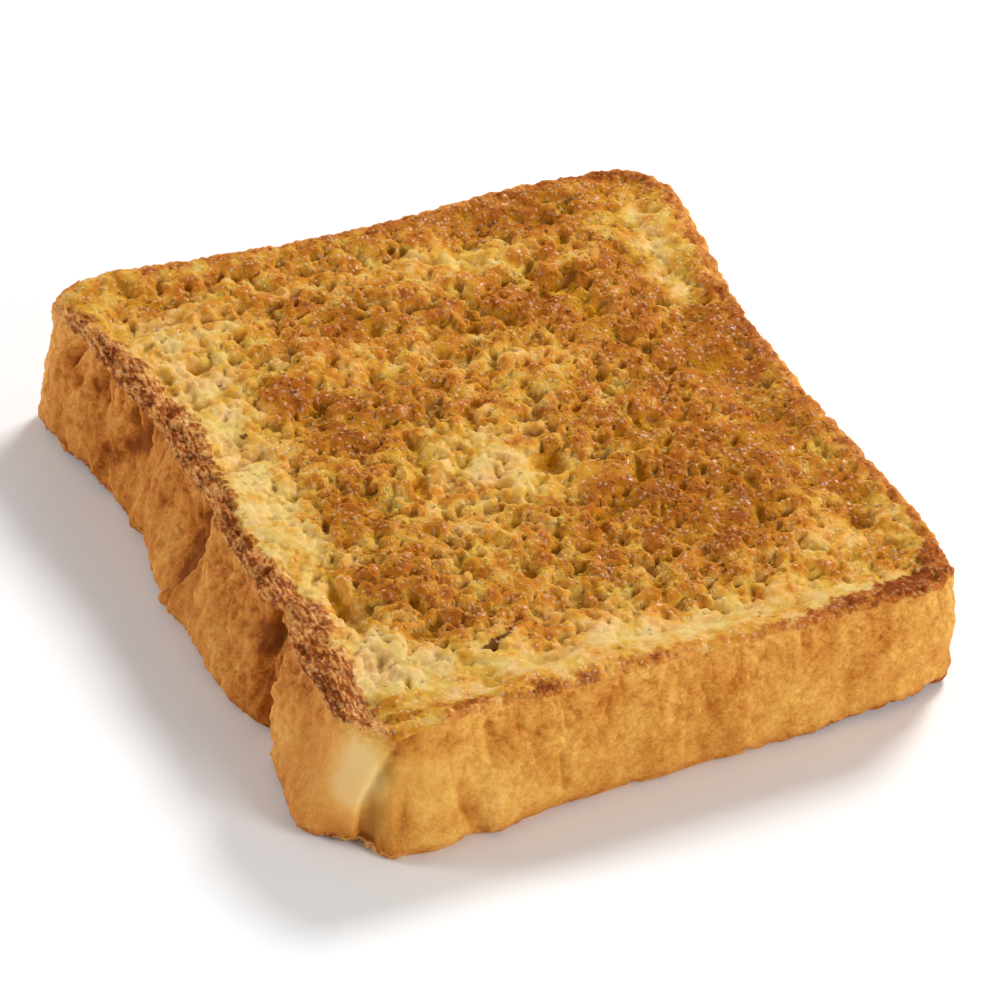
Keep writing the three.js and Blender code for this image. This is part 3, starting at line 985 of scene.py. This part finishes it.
# %% The colours
CRUMB_COLOURS = [
    (0.0, (0.79, 0.61, 0.30)),
    (0.25, (0.72, 0.475, 0.16)),
    (0.43, (0.67, 0.35, 0.054)),
    (0.57, (0.575, 0.231, 0.022)),
    (0.8, (0.41, 0.123, 0.010)),
    (1.0, (0.25, 0.06, 0.006)),
]
RIM_COLOURS = [
    (0.0, (0.78, 0.43, 0.15)),
    (0.4, (0.60, 0.265, 0.077)),
    (0.65, (0.44, 0.150, 0.034)),
    (0.85, (0.30, 0.08, 0.014)),
    (1.0, (0.19, 0.042, 0.006)),
]
WALL_COLOURS = [
    (0.0, (0.84, 0.60, 0.23)),
    (0.3, (0.76, 0.425, 0.098)),
    (0.55, (0.61, 0.27, 0.050)),
    (0.8, (0.44, 0.145, 0.018)),
    (1.0, (0.24, 0.066, 0.008)),
]
# Golds for hollows and pits: the first two are painted shade, the pit gold is painted light for the
# deepest pits.
PALE_GOLD_SHADE = (0.66, 0.355, 0.032, 1)
DEEP_GOLD_SHADE = (0.50, 0.205, 0.010, 1)
PIT_GOLD_LIGHTENED = (0.70, 0.34, 0.010, 1)
EGGY = (0.975, 1.018, 0.90, 1)
ROSY = (1.03, 0.972, 1.06, 1)
FRIED_GRAIN_GLINT = (0.82, 0.47, 0.24, 1)
PALE_GRAIN_GLINT = (0.86, 0.64, 0.33, 1)
SCORCHED = (0.20, 0.045, 0.009, 1)
LEFT_TINT = (1.0, 0.90, 0.94, 1)
RIM_TINT = (1.04, 0.94, 0.66, 1)
FOLD_BROWN_SHADE = (0.24, 0.075, 0.011, 1)
BURNT = (0.11, 0.022, 0.005, 1)


class Look:
    """What the colours share: the stored numbers, two sizes of cells, and noise of five sizes."""

    STORED = "top bottom toast band hem gap rim_toast wall_toast sleek flat char crease"
    STORED += " raised sunk pitted hollow fold"

    def __init__(self, tree):
        self.place = tree.scaled(tree.node("ShaderNodeTexCoord")["Object"], 1 / MM)
        for name in self.STORED.split():
            setattr(self, name, tree.node("ShaderNodeAttribute", {"attribute_name": name})["Fac"])
        self.bent = bent_place(tree, self.place, 0.9, 0.5, 30)
        self.apart = tree.split(self.bent)
        self.far, self.own = tree.cells(self.bent, 0.80, 31)
        self.far_fine, self.own_fine = tree.cells(self.bent, 0.40, 33)
        self.blot = tree.noise(self.place, 3.6, 2, 35)
        self.speck = tree.noise(self.place, 1.2, 1, 36)
        self.broad = tree.noise(self.place, 9.0, 2, 37)
        self.fine = tree.noise(self.place, 0.3, 2, 38)
        self.hue = tree.noise(self.place, 5.5, 1, 40)


# %% [markdown]
# ## The rim's colour
# On a real slice the brown of the crust creeps in over the face with a ragged edge, and along the
# base it turns under. A sharp line would look cut out. So noise is added to the band's edge, and
# the tone takes streaks across the left side and a shade from every grain.

# %% The rim's share and colour
def rim_share(on):
    rim = (on.band + (on.blot - 0.5) * 4 + (on.speck - 0.5) * 4.5).between(-1.2, 1.2)
    return rim.most(on.hem)


def rim_colour(tree, on):
    along = tree.joined(on.apart["X"], on.apart["Y"] * 0.25, on.apart["Z"])
    streak = (tree.noise(along, 0.6, 2, 39) - 0.5) * on.apart["X"].between(-42, -38, 2.4, 0.5)
    tone = on.rim_toast + (on.blot - 0.5) * 0.9 + (on.speck - 0.5) * 0.45 + streak + 0.04
    tone = tone + (on.own_fine - 0.5) * 0.24 - on.gap.between(0.0, 1.8, 0.2, 0.0)
    colour = tree.ramp(RIM_COLOURS, tone)
    return tree.mix(on.apart["X"].between(-42, -36), colour, RIM_TINT, "MULTIPLY")


# %% [markdown]
# ## The crumb's colour
# Brown follows the patches and the height: lumps that stood proud browned first, and the ground between
# them stayed golden with egg. That gold is also painted darker and deeper than the crumb, painted shade
# with the warmth of light bounced about in the hollows. Pits are the deepest yellow, made lighter again
# where they are deepest, painted light against their shadow. Over that lie a slow drift of hue, scorched
# spots on the highest lumps, and the few burned flecks.

# %% The crumb's tones and colour
def crumb_tones(on):
    """The tone that the pan gave the place, and the same with the height and grain in it."""
    even = 1 - on.flat.least(0.9)
    base = on.toast * (1 - on.bottom) + (0.6 + (on.broad - 0.5) * 1.2) * on.bottom
    base = (base + (on.blot - 0.5) * 1.1 * even).between(0.15, 1.05, 0.22, 0.92)
    shade = (on.own - 0.5) * 0.06 + (on.speck - 0.5) * 0.25 - on.sunk.least(1.2) * 0.1
    return base, base + on.raised * base.between(0.35, 0.6, 0.08, 0.17) + shade


def crumb_colour(tree, on, base, tone, rim):
    cooked = base.between(0.4, 0.68)
    # Painted shade: hollows and shallow pits take a darker, deeper gold than the crumb. Deep pits go back
    # to a lighter gold, painted light against their shadow.
    gold = tree.mix(cooked, PALE_GOLD_SHADE, DEEP_GOLD_SHADE)
    crumb = tree.mix(on.hollow * 0.85, tree.ramp(CRUMB_COLOURS, tone), gold)
    crumb = tree.mix(on.pitted * 0.95, crumb, tree.mix(on.sunk.between(1.0, 2.2), gold, PIT_GOLD_LIGHTENED))
    crumb = tree.mix(1.0, crumb, tree.mix(on.hue.between(0.38, 0.62), EGGY, ROSY), "MULTIPLY")
    crumb = tree.mix(rim, crumb, rim_colour(tree, on))
    scorch = tree.noise(on.place, 2.4, 1.5, 43).between(0.56, 0.68) * cooked
    crumb = tree.mix(scorch * on.raised.between(-0.3, 0.5) * 0.68, crumb, SCORCHED)
    char = on.char + (on.speck - 0.5) * 0.8 * on.char.least(1.0)
    return tree.mix(char.between(0.35, 0.75) * 0.9, crumb, BURNT)


# %% [markdown]
# ## The walls' colour
# The crust is mottled in upright streaks, and its creases and fine folds are browner, most of all where
# they cut in deep. This is partly the browned egg that real creases hold and partly painted shade,
# because shadows alone would leave them too pale. The left wall is a little redder than the front one.

# %% The walls' colour
def wall_colour(tree, on):
    parts = tree.split(bent_place(tree, on.place, 6.0, 3.0, 42))
    upright = tree.noise(tree.joined(parts["X"], parts["Y"], parts["Z"] * 0.2), 2.4, 2, 41) - 0.5
    mottling = upright * 0.45 + (on.blot - 0.5) * 0.28
    mottling = mottling + (on.speck - 0.5) * 0.24 + (on.own_fine - 0.5) * 0.18
    # Painted shade, partly real browning: the fine folds and the creases are darkened, and deep creases
    # take a dark brown.
    tone = on.wall_toast + (on.broad - 0.5) * 0.6 + mottling * (1 - on.sleek * 0.7) + on.fold * 0.2
    crease = on.crease + (on.blot - 0.5) * 0.8 * on.crease.least(1.0)
    tone = tone + crease.least(1.6) * (0.17 - on.sleek * 0.07)
    at_left = on.apart["X"].between(-47, -42, 1.0, 0.0)
    wall = tree.mix(at_left, tree.ramp(WALL_COLOURS, tone), LEFT_TINT, "MULTIPLY")
    return tree.mix(crease.between(0.7, 2.0) * 0.5, wall, FOLD_BROWN_SHADE)


# %% [markdown]
# ## The finest relief
# Grains finer than about 0.8 mm would need millions of faces. Bump gives them by tilting the
# shading only, and only they are left to it. It is drawn from the stored numbers and not from the
# colours, because Blender works out everything behind a bump three times over.

# %% The bump
def fine_relief(tree, on):
    coarse = on.far.between(0.12, 0.55, 1.0, 0.0) * (on.own * 0.7 + 0.3)
    finer = on.far_fine.between(0.1, 0.55, 1.0, 0.0) * (on.own_fine * 0.7 + 0.3)
    fried = on.toast.between(0.38, 0.72) * (on.top + on.bottom)
    height = coarse * (fried * 0.2 + 0.05) + finer * (fried * 0.05 + 0.02)
    height = height + on.fine * (fried * 0.03 + 0.035)
    sockets = {"Strength": 1.0, "Distance": 1.0 * MM, "Height": height}
    return tree.node("ShaderNodeBump", None, sockets)["Normal"]


# %% [markdown]
# ## The bread's material
# Light goes a millimetre or so into wet crumb and comes back warmer, so the shader scatters it
# under the surface. Browned grains are glazed with fat: a thin coat over patches of them makes a
# few glint. A uniform gloss would look like plastic.

# %% The material, and the surface in it
def bread_material():
    material = bpy.data.materials.new("fried_bread")
    material.use_nodes = True
    material.node_tree.nodes.clear()
    tree = Tree(material.node_tree)
    on = Look(tree)
    face = (on.top + on.bottom).least(1.0) + (on.speck - 0.5) * 1.0 + (on.blot - 0.5) * 0.8
    face = face.between(0.35, 0.65)
    rim = rim_share(on)
    base, tone = crumb_tones(on)
    browned = tone.between(0.35, 0.7) * face
    wet = tree.noise(on.place, 1.1, 2, 44).between(0.5, 0.66) * 0.5
    wet = wet + on.own_fine.between(0.9, 0.96) * 0.7
    glaze = (browned * 0.95 + 0.05) * (1 - rim * 0.8) * face * wet.least(1.0)
    # Paler spots on cell tops: partly pale grains, partly painted highlight, as if light caught them.
    light = on.own.between(0.5, 0.8) * on.far.between(0.2, 0.6, 1.0, 0.0)
    light = light * (1 - rim * 0.4) * (browned * 0.14 + 0.48)
    crumb = crumb_colour(tree, on, base, tone, rim)
    crumb = tree.mix(light, crumb, tree.mix(browned, PALE_GRAIN_GLINT, FRIED_GRAIN_GLINT))
    shader = tree.node("ShaderNodeBsdfPrincipled", None, {
        "Base Color": tree.mix(face, wall_colour(tree, on), crumb),
        "Roughness": 0.55 - glaze * 0.15,
        "Normal": fine_relief(tree, on),
        "Specular IOR Level": 0.06,
        "Specular Tint": (1.0, 0.72, 0.3, 1),
        "Subsurface Weight": 0.45,
        "Subsurface Scale": 1.4 * MM,
        "Subsurface Radius": (1.0, 0.55, 0.16),
        "Coat Weight": glaze * 0.5,
        "Coat Roughness": 0.22,
    })
    tree.node("ShaderNodeOutputMaterial", None, {"Surface": shader[0]})
    return material


fried_bread = bread_material()
run_tree(bread, surface_tree(), {"Material": fried_bread})
print("surface made:", len(bread.data.polygons), "faces")

# %% [markdown]
# ## Fewer faces
# The fine grid is needed while the surface is made, but most of its squares end up on gentle
# ground. Collapsing edges keeps the shape with far fewer faces. The fried face gets most of
# them, then the walls, and the underside, which is seldom seen, gets the fewest.

# %% Fewer faces
TRIANGLE_LIMIT = 196000


def thinned(piece, triangles):
    """Collapses the mesh to a number of triangles, and keeps most of them for the fried face."""
    heights = normals_of(piece)[:, 2]
    spare = piece.vertex_groups.new(name="spare")
    for share, chosen in ((0.05, heights > 0.2), (0.6, abs(heights) <= 0.2), (1.0, heights < -0.2)):
        spare.add([int(i) for i in np.flatnonzero(chosen)], share, "REPLACE")
    piece.data.transform(Matrix.Scale(1 / MM, 4))
    thin = piece.modifiers.new("thin", "DECIMATE")
    thin.ratio = min(1.0, triangles / (2 * len(piece.data.polygons)))
    thin.vertex_group = "spare"
    baked(piece)
    piece.data.transform(Matrix.Scale(MM, 4))


thinned(bread, TRIANGLE_LIMIT)
bread.data.polygons.foreach_set("use_smooth", [True] * len(bread.data.polygons))
facing = np.empty(len(bread.data.polygons) * 3, np.float32)
bread.data.polygons.foreach_get("normal", facing)
upward = facing.reshape(-1, 3)[:, 2]
print("after thinning:", len(upward), "faces,", int((upward > 0.3).sum()), "of them on the top")

# %% [markdown]
# ## Grains
# The browned face is sprinkled with grains of fried egg and crumb, up to a millimetre wide and
# half sunk. Bump could hint at them, but not break the outline. Geometry Nodes scatter them,
# thickest where the pan browned the slice. Each is a flattened ball of twenty faces, so that
# thousands stay light, and takes its colour from the place where it sits.

# %% The grains
GRAIN_SIZES = {
    "Grain radius": ("NodeSocketFloat", 0.42 * MM),
    "Spacing": ("NodeSocketFloat", 0.95 * MM),
    "Grains per square metre": ("NodeSocketFloat", 900000.0),
    "Material": ("NodeSocketMaterial", None),
}


def grains_tree():
    group, tree, given = geometry_tree("grains", GRAIN_SIZES)
    lasting = tree.named("top") * tree.named("gap").between(0.8, 2.0)
    lasting = lasting * tree.named("toast").between(0.5, 0.75, 0.05, 0.85)
    sockets = {"Mesh": given["Geometry"], "Distance Min": given["Spacing"]}
    sockets.update({"Density Max": given["Grains per square metre"], "Density Factor": lasting})
    settings = {"distribute_method": "POISSON"}
    spots = tree.node("GeometryNodeDistributePointsOnFaces", settings, sockets)
    chance = {"data_type": "FLOAT"}
    luck = tree.node("FunctionNodeRandomValue", chance, {"Min": -0.5, "Max": 0.4, "Seed": 3})[0]
    points = keep(tree, spots["Points"], "raised", tree.named("raised") + luck)
    ball = tree.node("GeometryNodeMeshIcoSphere", None, {"Radius": given["Grain radius"]})["Mesh"]
    ball = tree.node("GeometryNodeSetShadeSmooth", None, {"Geometry": ball})["Geometry"]
    sockets = {"Min": (0.6, 0.6, 0.25), "Max": (1.3, 1.05, 0.5), "Seed": 4}
    stretch = tree.node("FunctionNodeRandomValue", {"data_type": "FLOAT_VECTOR"}, sockets)[0]
    sockets = {"Points": points, "Instance": ball, "Rotation": spots["Rotation"], "Scale": stretch}
    placed = tree.node("GeometryNodeInstanceOnPoints", None, sockets)["Instances"]
    turn = tree.node("FunctionNodeRandomValue", chance, {"Min": 0.0, "Max": 6.28, "Seed": 5})[0]
    sockets = {"Instances": placed, "Rotation": tree.joined(0.0, 0.0, turn)}
    spun = tree.node("GeometryNodeRotateInstances", None, sockets)
    finish_tree(tree, spun["Instances"], given["Material"])
    return group


grains = bpy.data.objects.new("grains", bread.data.copy())
bpy.context.collection.objects.link(grains)
run_tree(grains, grains_tree(), {"Material": fried_bread})
print("grains:", len(grains.data.polygons) // 20)

for piece in (bread, grains):
    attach(piece, "root")
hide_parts("slice")

# %% [markdown]
# ## The floor
# The slice lies on plain pale paper, which takes its soft shadow. A shadow catcher would do, but
# paper also throws a little light back on the walls.

# %% The floor
FLOOR_HALF = 3.0
floor_mesh = bpy.data.meshes.new("floor")
corners = [(a * FLOOR_HALF, b * FLOOR_HALF, -0.0002) for a, b in ((-1, -1), (1, -1), (1, 1), (-1, 1))]
floor_mesh.from_pydata(corners, [], [(0, 1, 2, 3)])
floor = bpy.data.objects.new("floor", floor_mesh)
bpy.context.collection.objects.link(floor)
paper = bpy.data.materials.new("paper")
paper.use_nodes = True
matt = paper.node_tree.nodes["Principled BSDF"].inputs
matt["Base Color"].default_value = (0.97, 0.97, 0.97, 1)
matt["Roughness"].default_value = 0.9
floor_mesh.materials.append(paper)
